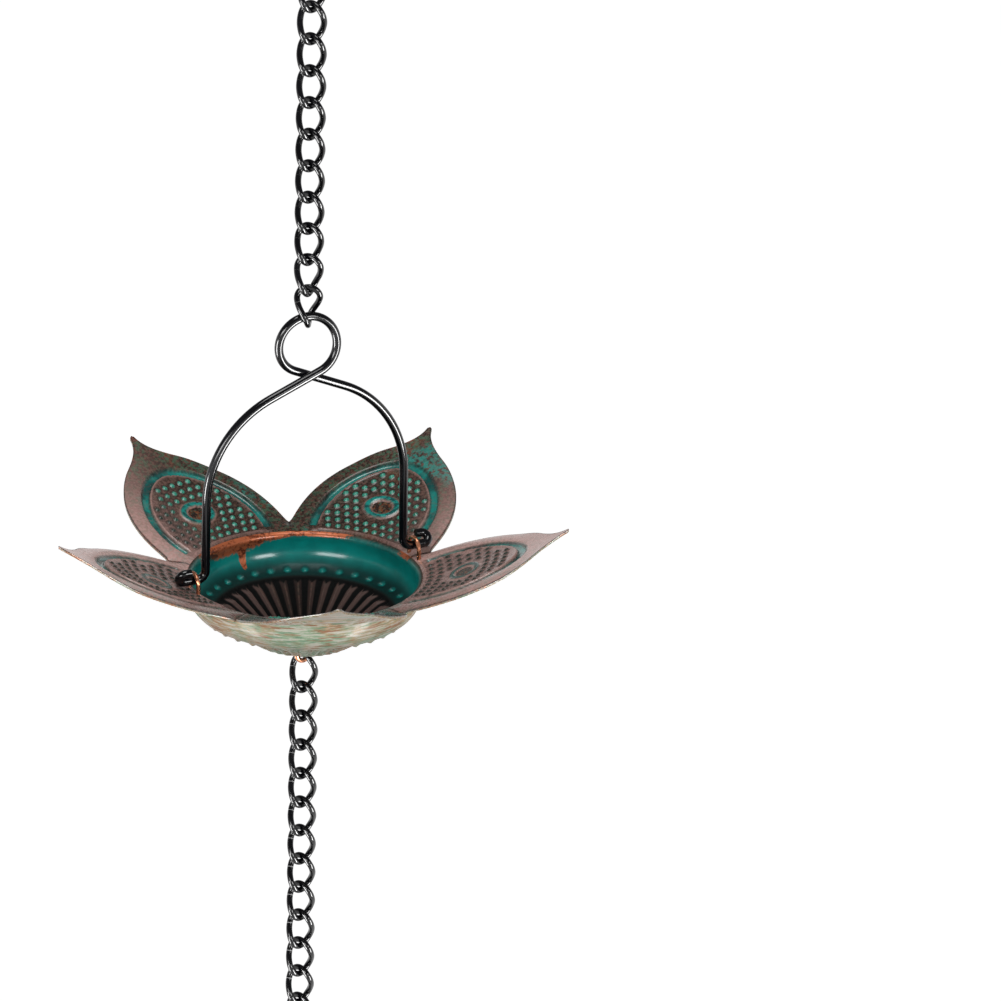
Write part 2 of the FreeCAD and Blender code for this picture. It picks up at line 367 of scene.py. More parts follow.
@dataclass(frozen=True)
class AgedPatina:
    """Rubbed green and brown over copper: glossy teal where it pools, bare copper where it wears."""

    teal: Colour = (0.006, 0.2, 0.172)
    teal_deep: Colour = (0.001, 0.06, 0.056)
    bowl: Colour = (0.001, 0.21, 0.188)
    bowl_deep: Colour = (0.0008, 0.145, 0.132)
    dome: Colour = (0.028, 0.225, 0.16)
    moss: Colour = (0.035, 0.085, 0.05)
    brown: Colour = (0.08, 0.038, 0.027)
    brown_deep: Colour = (0.014, 0.008, 0.006)
    rust: Colour = (0.13, 0.042, 0.017)
    highlight_rose: Colour = (0.41, 0.24, 0.21)
    sheen_blush: Colour = (0.49, 0.3, 0.27)
    copper: Colour = (0.43, 0.12, 0.05)
    copper_deep: Colour = (0.13, 0.03, 0.012)
    # near black of the flute channels and the floor, also the colour of painted shade
    black_and_shade: Colour = (0.0025, 0.0028, 0.0028)
    ridge: Colour = (0.09, 0.055, 0.048)
    mint: Colour = (0.28, 0.38, 0.25)
    tan: Colour = (0.47, 0.31, 0.175)
    chalk: Colour = (0.56, 0.54, 0.46)
    fern: Colour = (0.11, 0.24, 0.15)
    smudge: Colour = (0.3, 0.12, 0.05)
    name: str = "aged_patina"
    level: float = 0.45
    gloss: float = 0.22
    coat: float = 0.3
    coat_gloss: float = 0.15
    sheen: float = 0.0
    tooth: float = 0.000012
    drift_scale: float = 48.0
    cloud_scale: float = 130.0
    grain_scale: float = 800.0
    speckle_scale: float = 1100.0
    stroke_rise: float = 1500.0
    streak_turn: float = 6.0
    brush_turn: float = 4.0
    patch_turn: float = 2.6
    patch_rise: float = 80.0

    def material(self) -> bpy.types.Material:
        """The finish as a material.

        Returns:
            The material.
        """
        sheet = NodeSheet.material(self.name)
        zones = {zone: sheet.zone(zone) for zone in Zone}
        cloud = sheet.noise(sheet.place(), self.cloud_scale)
        speckle = sheet.noise(sheet.place(), self.speckle_scale, 4.0, 0.65)
        under = zones[Zone.UNDER]
        wear = self._wear(zones, cloud, speckle)
        colour = sheet.mix(under, self._face(sheet, zones, cloud, speckle), self._outside(sheet, cloud))
        metal = sheet.mix((cloud + speckle).ramp(0.84, 1.02), self.copper_deep, self.copper)
        colour = sheet.mix(wear, colour, metal)
        shade = zones[Zone.FLUTE] * (1.0 - zones[Zone.RIDGE])
        pooled = zones[Zone.WALL].larger(0.8 * zones[Zone.GROOVE]).larger(0.8 * zones[Zone.EYE])
        pooled = pooled * (1.0 - under) * (1.0 - zones[Zone.HOLLOW_SHADE])
        dull = self.gloss + 0.13 * speckle.ramp(0.35, 0.7) + 0.5 * shade + 0.12 * under
        return sheet.finish(
            Base_Color=colour,
            Metallic=0.5 * wear,
            Roughness=dull - 0.08 * pooled,
            Normal=sheet.bump(speckle, self.tooth),
            Coat_Weight=self.coat * pooled + self.sheen * under,
            Coat_Roughness=self.coat_gloss,
            Specular_IOR_Level=self.level,
        )

    def _face(
        self, sheet: NodeSheet, zones: Signals, cloud: Signal, speckle: Signal
    ) -> bpy.types.NodeSocket:
        """Colour of the upper face and of the inside of the bowl.

        Args:
            sheet: The material's nodes.
            zones: The masks of the sheet's places.
            cloud: Slow noise.
            speckle: Fine noise.

        Returns:
            A colour socket.
        """
        grain = sheet.noise(sheet.place(), self.grain_scale, 3.0, 0.6)
        # painted shade: on the two sheened sides the dots and the eye are darkened
        grazing_shade = zones[Zone.RUB_AND_SHEEN].ramp(0.05, 0.5)
        ground = self._ground(sheet, zones, cloud, speckle, grain)
        dome = sheet.mix(0.92 * grazing_shade, self.dome, self.brown_deep)
        ring = zones[Zone.DOT].ramp(0.03, 0.3) * (0.95 - 0.6 * zones[Zone.DOT].ramp(0.7, 0.95))
        ground = sheet.mix(ring, ground, dome)
        pool = sheet.mix(cloud.ramp(0.38, 0.6), self.teal_deep, self.teal)
        colour = sheet.mix(zones[Zone.GROOVE] * (0.7 + 0.3 * grain.ramp(0.35, 0.55)), ground, pool)
        eye = sheet.mix(grain.ramp(0.4, 0.56), self.teal_deep, self.teal)
        colour = sheet.mix(zones[Zone.EYE], colour, sheet.mix(0.6 * grazing_shade, eye, self.brown_deep))
        iris = sheet.mix(grain.ramp(0.46, 0.62), self.brown_deep, self.rust)
        iris = sheet.mix(0.7 * speckle.ramp(0.52, 0.64), iris, self.moss)
        colour = sheet.mix(zones[Zone.PUPIL], colour, iris)
        # painted highlight: pale pink along the raised lines, the eye's outline and the folds at the notches
        colour = sheet.mix(0.8 * zones[Zone.LINE], colour, self.highlight_rose)
        wall = sheet.mix(cloud.ramp(0.3, 0.7), self.bowl_deep, self.bowl)
        colour = sheet.mix(zones[Zone.WALL], colour, wall)
        colour = sheet.mix(zones[Zone.FLUTE], colour, self.black_and_shade)
        colour = sheet.mix(zones[Zone.RIDGE], colour, self.ridge)
        # painted highlight: pale pink lines beside the flute ridges
        colour = sheet.mix(zones[Zone.LINE] * zones[Zone.FLUTE], colour, self.highlight_rose)
        # painted shade: recesses darkened towards near black
        colour = sheet.mix(0.88 * zones[Zone.HOLLOW_SHADE], colour, self.black_and_shade)
        # painted highlight: a bright teal spot on each bead of the wall
        return sheet.mix(0.8 * zones[Zone.DOT] * zones[Zone.WALL], colour, self.teal)

    def _ground(
        self, sheet: NodeSheet, zones: Signals, cloud: Signal, speckle: Signal, grain: Signal
    ) -> bpy.types.NodeSocket:
        """Colour of the plain sheet of the petals: speckled brown, washed green, rubbed pale with a painted
        sheen at the sides.

        Args:
            sheet: The material's nodes.
            zones: The masks of the sheet's places.
            cloud: Slow noise.
            speckle: Fine noise.
            grain: Noise between the two.

        Returns:
            A colour socket.
        """
        border = zones[Zone.BORDER]
        drift = sheet.noise(sheet.place(), self.drift_scale, 2.0)
        ground = sheet.mix(speckle.ramp(0.36, 0.62), self.brown_deep, self.brown)
        ground = sheet.mix(0.6 * cloud.ramp(0.55, 0.72), ground, self.rust)
        growth = grain.ramp(0.46, 0.58) * (0.5 + 0.5 * cloud.ramp(0.35, 0.6))
        ground = sheet.mix(0.85 * growth * (0.25 + 0.75 * border), ground, self.moss)
        wash = drift.ramp(0.5, 0.66) * grain.ramp(0.4, 0.55) * border
        ground = sheet.mix(0.8 * wash, ground, self.teal)
        # painted sheen: pale pink on the two rubbed sides, partly rubbed copper
        sheen_blush = zones[Zone.RUB_AND_SHEEN] * (0.55 + 0.35 * border) * (0.75 + 0.25 * grain.ramp(0.62, 0.42))
        ground = sheet.mix(sheen_blush, ground, self.sheen_blush)
        return sheet.mix(0.7 * zones[Zone.EDGE].ramp(0.3, 0.9), ground, self.brown_deep)

    def _outside(self, sheet: NodeSheet, cloud: Signal) -> bpy.types.NodeSocket:
        """Colour of the underside, brushed round the cup.

        Args:
            sheet: The material's nodes.
            cloud: Slow noise.

        Returns:
            A colour socket.
        """
        streak = sheet.noise(sheet.around(self.streak_turn, self.stroke_rise), 1.0, 4.0, 0.65)
        brush = sheet.noise(sheet.around(self.brush_turn, self.stroke_rise), 1.0, 3.0, 0.6)
        patch = sheet.noise(sheet.around(self.patch_turn, self.patch_rise), 1.0)
        colour = sheet.mix(patch.ramp(0.4, 0.55), self.mint, self.tan)
        colour = sheet.mix(0.9 * streak.ramp(0.5, 0.56), colour, self.chalk)
        colour = sheet.mix(0.8 * streak.ramp(0.45, 0.38), colour, self.fern)
        return sheet.mix(0.85 * brush.ramp(0.51, 0.58) * cloud.ramp(0.4, 0.54), colour, self.smudge)

    def _wear(self, zones: Signals, cloud: Signal, speckle: Signal) -> Signal:
        """Mask of bare copper along the rim and the petals' edges.

        Args:
            zones: The masks of the sheet's places.
            cloud: Slow noise.
            speckle: Fine noise.

        Returns:
            A mask from 0 to 1.
        """
        rim = zones[Zone.RIM]
        ragged = rim + 0.7 * (speckle - 0.5) + 0.5 * (cloud - 0.5)
        edge = 0.35 * zones[Zone.EDGE] * (speckle * cloud).ramp(0.24, 0.34)
        return (ragged.ramp(0.32, 0.6) * rim.ramp(0.02, 0.15)).larger(edge)


@dataclass(frozen=True)
class WhiteStage:
    """Plain white card that shows white to the camera and takes shadows."""

    card: Colour = (0.45, 0.45, 0.45)
    lift: float = 0.93

    def material(self) -> bpy.types.Material:
        """The finish as a material.

        Returns:
            The material.
        """
        sheet = NodeSheet.material("white_stage")
        path = sheet.node("ShaderNodeLightPath")
        seen = Signal(sheet, path.outputs["Is Camera Ray"])
        for name in ("Is Glossy Ray", "Is Transmission Ray"):
            seen = seen.larger(Signal(sheet, path.outputs[name]))
        card = sheet.node("ShaderNodeBsdfDiffuse", None, {"Color": self.card})
        glow = sheet.node("ShaderNodeEmission", None, {"Strength": self.lift * seen})
        both = sheet.node("ShaderNodeAddShader", None, {0: card.outputs[0], 1: glow.outputs[0]})
        sheet.node("ShaderNodeOutputMaterial", None, {"Surface": both.outputs[0]})
        return sheet.owner


def smooth(low: float, high: float, value: np.ndarray) -> np.ndarray:
    """Smooth step of an array.

    Args:
        low: Where the step is 0.
        high: Where the step is 1.
        value: The array.

    Returns:
        Values from 0 to 1.
    """
    t = np.clip((value - low) / (high - low), 0.0, 1.0)
    return t * t * (3.0 - 2.0 * t)


def band(low: float, high: float, soft: float, value: np.ndarray) -> np.ndarray:
    """Mask of the values between two limits, with soft sides."""
    return smooth(low - soft, low + soft, value) * (1.0 - smooth(high - soft, high + soft, value))


def dome(share: np.ndarray) -> np.ndarray:
    """Height of a round boss, 1 at its middle and 0 from a share of 1 of its radius."""
    return 0.5 + 0.5 * np.cos(math.pi * np.clip(share, 0.0, 1.0))


def bell(angle: np.ndarray, middle: float, half: float | np.ndarray, power: int = 2) -> np.ndarray:
    """Mask that is 1 at a middle angle and fades past half a width on either side."""
    return np.exp(-(((angle - middle) / half) ** power))


def wrapped(degrees: np.ndarray) -> np.ndarray:
    """Angles brought into the half turn on either side of 0."""
    return (degrees + 180.0) % 360.0 - 180.0


def direction(turn: float, rise: float) -> Vector:
    """Unit vector at an angle from +Y towards +X and a rise above level, both in radians."""
    return Vector((math.sin(turn) * math.cos(rise), math.cos(turn) * math.cos(rise), math.sin(rise)))


def circle_through(points: Sequence[tuple[float, float]]) -> tuple[float, float, float]:
    """Circle through three points of a plane.

    Args:
        points: The three points.

    Returns:
        The centre's two coordinates and the radius.
    """
    (ax, ay), (bx, by), (cx, cy) = points
    rows = np.array([[bx - ax, by - ay], [cx - ax, cy - ay]]) * 2.0
    far = np.array([bx * bx + by * by, cx * cx + cy * cy]) - (ax * ax + ay * ay)
    x, y = np.linalg.solve(rows, far)
    return float(x), float(y), math.hypot(ax - x, ay - y)


class MeshPlan:
    """Collects grids of points, with their zones, into one mesh."""

    def __init__(self) -> None:
        """Start with no points."""
        self.points: list[np.ndarray] = []
        self.faces: list[np.ndarray] = []
        self.zones: list[Masks] = []
        self.count = 0

    def add_grid(
        self, points: np.ndarray, zones: Masks, closed: bool = False, flip: bool = False
    ) -> np.ndarray:
        """Add a grid of points joined by quads.

        Args:
            points: Rows by columns by three coordinates, in millimetres.
            zones: Masks of the same rows and columns.
            closed: Whether the last column joins the first.
            flip: Whether the faces are wound the other way.

        Returns:
            The points' numbers in the mesh, as rows by columns.
        """
        rows, columns = points.shape[:2]
        index = self.count + np.arange(rows * columns).reshape(rows, columns)
        self.points.append(points.reshape(-1, 3))
        self.zones.append({zone: mask.reshape(-1) for zone, mask in zones.items()})
        self.count += rows * columns
        if closed:
            index = np.hstack([index, index[:, :1]])
        self.join(index[:-1], index[1:], flip)
        return index

    def join(self, first: np.ndarray, second: np.ndarray, flip: bool = False) -> None:
        """Add quads between two sets of matching rows of point numbers.

        Args:
            first: One row or several.
            second: As many rows of the same length.
            flip: Whether the faces are wound the other way.
        """
        first, second = np.atleast_2d(first), np.atleast_2d(second)
        quads = np.stack([first[:, :-1], first[:, 1:], second[:, 1:], second[:, :-1]], -1).reshape(-1, 4)
        self.faces.append(quads[:, ::-1] if flip else quads)

    def build(self, name: str, lift: float) -> bpy.types.Object:
        """Make the mesh object.

        Args:
            name: The piece's name.
            lift: Height of the plan's zero level, in metres.

        Returns:
            The object, linked to the scene.
        """
        points = np.vstack(self.points) * MM + np.array([0.0, 0.0, lift])
        mesh = bpy.data.meshes.new(name)
        mesh.from_pydata(points.tolist(), [], np.vstack(self.faces).tolist())
        for zone in Zone:
            masks = [part.get(zone, np.zeros(len(block))) for part, block in zip(self.zones, self.points)]
            layer = mesh.attributes.new(zone.value, "FLOAT", "POINT")
            layer.data.foreach_set("value", np.concatenate(masks).astype(np.float32))
        mesh.validate()
        mesh.shade_smooth()
        piece = bpy.data.objects.new(name, mesh)
        bpy.context.scene.collection.objects.link(piece)
        return piece


@dataclass
class PetalSheet:
    """The five petals: a rising sheet with a pressed border, groove, dotted panel and eye. Millimetres."""

    rim_radius: float = 32.0
    inner_radius: float = 33.6
    tip_radius: float = 75.5
    rise: float = 21.2
    dish: float = 1.8
    sheet: float = 0.7
    petals: int = 5
    half_width: float = 23.3
    shoulder: float = 8.6
    knee_half: float = 8.9
    point_length: float = 9.1
    point_half: float = 0.8
    point_sweep: float = 1.9
    notch_round: float = 1.4
    pattern_fade: float = 0.8
    groove_inset: float = 5.2
    groove_width: float = 2.2
    groove_depth: float = 0.85
    groove_soft: float = 0.45
    groove_root: float = 36.4
    root_soft: float = 0.4
    corner: float = 1.7
    line_gap: float = 0.25
    line_width: float = 0.35
    line_soft: float = 0.35
    line_height: float = 0.4
    base_line: tuple[float, float] = (0.4, 1.0)
    border_roll: float = 1.2
    roll_limit: float = 1.3
    roll_fade: float = 6.0
    roll_past_knee: float = 3.0
    panel_height: float = 0.3
    panel_soft: float = 0.6
    dot_radius: float = 1.0
    dot_height: float = 0.75
    dot_row: float = 2.65
    dot_step: float = 2.9
    dot_first: float = 36.0
    dot_margin: float = 1.2
    eye_reach: float = 45.9
    eye_half_length: float = 4.3
    eye_half_width: float = 5.6
    eye_height: float = 0.45
    eye_margin: float = 1.5
    web_height: float = 1.2
    web_radius: float = 2.4
    plain_notch: float = 0.0
    # sides that carry rubbed copper and a painted sheen
    rub_and_sheen_turns: tuple[float, ...] = (164.0, 332.0)
    rub_and_sheen_half: float = 45.0
    rows: int = 100
    columns: int = 118
    side_radius: float = field(init=False)
    arc: tuple[float, float, float] = field(init=False)
    outline: tuple[np.ndarray, np.ndarray] = field(init=False)

    def __post_init__(self) -> None:
        """Work out the section's arc and the plan outline."""
        length = self.tip_radius - self.rim_radius
        run = length - self.point_length - self.shoulder
        fall = self.half_width - self.knee_half
        self.side_radius = (run * run + fall * fall) / (2 * fall)
        self.arc = circle_through(
            (
                (self.rim_radius, 0.0),
                (self.rim_radius + length / 2, self.rise / 2 - self.dish),
                (self.tip_radius, self.rise),
            )
        )
        self.outline = self._outline()

    def _outline(self) -> tuple[np.ndarray, np.ndarray]:
        """Half of a petal's outline in plan.

        Returns:
            Distances from the axis, rising, and the outline's angle from the petal's middle line there.
        """
        x = self.rim_radius + self.shoulder
        y = self.half_width - self.side_radius
        flank = y + math.sqrt(self.side_radius**2 - (self.knee - x) ** 2)
        turn = np.linspace(math.radians(150), math.atan2(flank - y, self.knee - x), 400)
        side = np.stack([x + self.side_radius * np.cos(turn), y + self.side_radius * np.sin(turn)], 1)
        lean = math.atan2(self.knee - x, flank - y)
        reach = (flank - self.point_sweep) / math.sin(lean)
        start = np.array([self.knee, flank])
        pull = np.array([self.knee + reach * math.cos(lean), flank - reach * math.sin(lean)])
        end = np.array([self.tip_radius - self.point_half, self.point_half])
        t = np.linspace(0.0, 1.0, 120)[1:, None]
        sweep = (1 - t) ** 2 * start + 2 * t * (1 - t) * pull + t * t * end
        a = np.linspace(math.pi / 2, 0.0, 30)[1:]
        nose = np.stack([end[0] + self.point_half * np.cos(a), self.point_half * np.sin(a)], 1)
        points = np.vstack([side, sweep, nose])
        away = np.hypot(points[:, 0], points[:, 1])
        gap = np.maximum(self.share - np.arctan2(points[:, 1], points[:, 0]), 0.0) * away
        gap = np.sqrt(np.maximum(gap * gap - self.notch_round**2, 0.0))
        order = np.argsort(away)
        return away[order], self.share - (gap / away)[order]

    @property
    def share(self) -> float:
        """Half of one petal's share of the turn, in radians."""
        return math.pi / self.petals

    @property
    def knee(self) -> float:
        """Distance from the axis at which the round side turns to the point."""
        return self.tip_radius - self.point_length

    @property
    def notch_radius(self) -> float:
        """Distance from the axis at which two petals part."""
        away, angle = self.outline
        return float(away[angle < self.share - TINY].min())

    def height(self, away: np.ndarray) -> np.ndarray:
        """Height of the middle of the sheet at a distance from the axis."""
        x, z, r = self.arc
        return z - np.sqrt(r * r - (away - x) ** 2)

    def half_sheet(self, away: np.ndarray) -> np.ndarray:
        """Half of the sheet's thickness, measured upright."""
        x, _, r = self.arc
        return self.sheet / 2 / np.sqrt(1.0 - ((away - x) / r) ** 2)

    def relief(self, away: np.ndarray, angle: np.ndarray, turn: float) -> tuple[np.ndarray, Masks]:
        """Pressed pattern of one petal.

        Args:
            away: Distances from the axis.
            angle: Angles from the petal's middle line.
            turn: Angle of that line.

        Returns:
            Heights above the plain sheet, and the masks of the pattern's places.
        """
        along, across = away * np.cos(angle), away * np.sin(angle)
        inset = self._inset(along, across)
        low, high = self.groove_inset, self.groove_inset + self.groove_width
        begun = smooth(self.groove_root - self.root_soft, self.groove_root + self.root_soft, away)
        groove = band(low, high, self.groove_soft, inset) * begun
        first = high + self.line_gap
        line = band(first, first + self.line_width, self.line_soft, inset) * begun
        base_low, base_high = (self.inner_radius + off for off in self.base_line)
        base = band(base_low, base_high, self.line_soft, away) * smooth(low, high, inset)
        oval = np.hypot((along - self.eye_reach) / self.eye_half_length, across / self.eye_half_width)
        eye = band(0.66, 0.98, 0.06, oval)
        eye_lines = np.maximum(0.7 * band(1.0, 1.06, 0.05, oval), band(0.58, 0.63, 0.04, oval))
        dots, moat = self._dots(away, angle)
        web = self._web(away, angle, turn)
        height = (
            self.line_height * np.maximum(line, base)
            - self.groove_depth * groove
            + self.eye_height * np.sqrt(np.clip(eye, 0.0, 1.0))
            + self.dot_height * dots
            - self.border_roll * self._roll(away, inset)
            + self.panel_height * smooth(high, high + self.panel_soft, inset)
            + self.web_height * web
        )
        height *= smooth(self.inner_radius, self.inner_radius + self.pattern_fade, away)
        zones = {
            Zone.BORDER: 1.0 - smooth(low - 0.6, low + 0.2, inset),
            Zone.GROOVE: groove,
            # the raised lines, the eye's outline and the notch folds carry a painted highlight
            Zone.LINE: np.maximum(np.maximum(line, 0.4 * base), np.maximum(eye_lines, 0.5 * web)),
            Zone.DOT: dots,
            Zone.EYE: eye,
            Zone.PUPIL: 1.0 - smooth(0.5, 0.6, oval),
            # painted shade round the dots' feet and along the groove's sides
            Zone.HOLLOW_SHADE: np.maximum(0.85 * moat, self._groove_shade(inset) * begun),
        }
        return height, zones

    def _roll(self, away: np.ndarray, inset: np.ndarray) -> np.ndarray:
        """How far the border rolls down outside the groove.

        Args:
            away: Distances from the axis.
            inset: Distances inside the petal's sides.

        Returns:
            Shares of the full roll, 0 at the groove, the root and the point.
        """
        roll = np.clip((self.groove_inset - inset) / self.groove_inset, 0.0, self.roll_limit) ** 2
        risen = smooth(self.inner_radius, self.inner_radius + self.roll_fade, away)
        gone = smooth(self.knee - self.roll_fade, self.knee + self.roll_past_knee, away)
        return roll * risen * (1.0 - gone)

    def _web(self, away: np.ndarray, angle: np.ndarray, turn: float) -> np.ndarray:
        """The small folds that stand where two petals part, apart from one plain notch.

        Args:
            away: Distances from the axis.
            angle: Angles from the petal's middle line.
            turn: Angle of that line.

        Returns:
            Height of the folds, from 0 to 1.
        """
        off = np.hypot(np.maximum(away - self.notch_radius, 0.0), away * (self.share - np.abs(angle)))
        notch = np.degrees(turn + np.sign(angle) * self.share) - self.plain_notch
        return np.exp(-((off / self.web_radius) ** 2)) * (np.abs(wrapped(notch)) > 1.0)

    def _rub_and_sheen(self, turn: np.ndarray) -> np.ndarray:
        """Mask of the two sides of the flower that carry rubbed copper and a painted sheen, by angle about
        the axis in radians.
        """
        masks = [bell(wrapped(np.degrees(turn) - middle), 0.0, self.rub_and_sheen_half, 4) for middle in self.rub_and_sheen_turns]
        return np.maximum.reduce(masks)

    def _groove_shade(self, inset: np.ndarray) -> np.ndarray:
        """Thin lines of painted shade along both sides of the groove.

        Args:
            inset: Distances inside the petal's sides.

        Returns:
            A mask from 0 to 1.
        """
        low, high = self.groove_inset, self.groove_inset + self.groove_width
        inner = 0.8 * band(high - 0.2, high + 0.05, 0.2, inset)
        return np.maximum(band(low - 0.1, low + 0.15, 0.2, inset), inner)

    def _inset(self, along: np.ndarray, across: np.ndarray) -> np.ndarray:
        """Distance inside the petal's round sides, rounded where the two meet at the point.

        Args:
            along: Places along the petal's middle line.
            across: Places to the side of it.

        Returns:
            The distances.
        """
        x = self.rim_radius + self.shoulder
        y = self.side_radius - self.half_width
        left, right = (self.side_radius - np.hypot(along - x, across + s * y) for s in (-1, 1))
        return -self.corner * np.logaddexp(-left / self.corner, -right / self.corner)

    def _dots(self, away: np.ndarray, angle: np.ndarray) -> tuple[np.ndarray, np.ndarray]:
        """Domes of the dotted panel.

        Args:
            away: Distances from the axis.
            angle: Angles from the petal's middle line.

        Returns:
            Height of the domes, from 0 to 1, and a mask of the painted shade round their feet.
        """
        row = np.round((away - self.dot_first) / self.dot_row)
        radius = self.dot_first + row * self.dot_row
        shift = 0.5 * (row % 2)
        centre = (np.round(angle * radius / self.dot_step + shift) - shift) * self.dot_step / radius
        off = np.hypot(away - radius, radius * (angle - centre))
        along, across = radius * np.cos(centre), radius * np.sin(centre)
        panel = self.groove_inset + self.groove_width + self.line_width + self.dot_margin
        inside = self._inset(along, across) > panel
        half_length = self.eye_half_length + self.eye_margin
        half_width = self.eye_half_width + self.eye_margin
        oval = np.hypot((along - self.eye_reach) / half_length, across / half_width)
        kept = inside & (oval > 1.0) & (row >= 0)
        # painted shade round each dot's foot
        moat = band(self.dot_radius - 0.1, self.dot_radius + 0.3, 0.25, off)
        return np.where(kept, dome(off / self.dot_radius), 0.0), np.where(kept, moat, 0.0)

    def add_petal(self, plan: MeshPlan, turn: float) -> None:
        """Add one petal's two faces and its cut edge.

        Args:
            plan: The mesh to add to.
            turn: Angle of the petal's middle line, in radians.
        """
        away = np.linspace(self.inner_radius, self.tip_radius - 1e-4, self.rows)[:, None]
        limit = np.interp(away, *self.outline)
        faces = []
        for side, columns in ((1, self.columns), (-1, self.columns // 2)):
            across = np.linspace(-1.0, 1.0, columns)[None, :]
            angle = limit * across
            reach = np.broadcast_to(away, angle.shape)
            height, zones = self.relief(reach, angle, turn)
            level = self.height(reach) + side * self.half_sheet(reach) + height
            edge = 1.0 - smooth(0.1, 0.9, reach * limit * (1.0 - np.abs(across)))
            zones[Zone.EDGE] = edge * (reach > self.notch_radius)
            zones[Zone.UNDER] = np.full(angle.shape, float(side < 0))
            zones[Zone.RUB_AND_SHEEN] = self._rub_and_sheen(angle + turn) * (1.0 - 0.4 * zones[Zone.EDGE])
            points = np.stack([reach * np.cos(angle + turn), reach * np.sin(angle + turn), level], -1)
            faces.append(plan.add_grid(points, zones, flip=side > 0))
        top, bottom = faces
        free = int(np.argmax(away[:, 0] > self.notch_radius))
        plan.join(top[free:, 0], bottom[free:, 0])
        plan.join(top[free:, -1], bottom[free:, -1], flip=True)


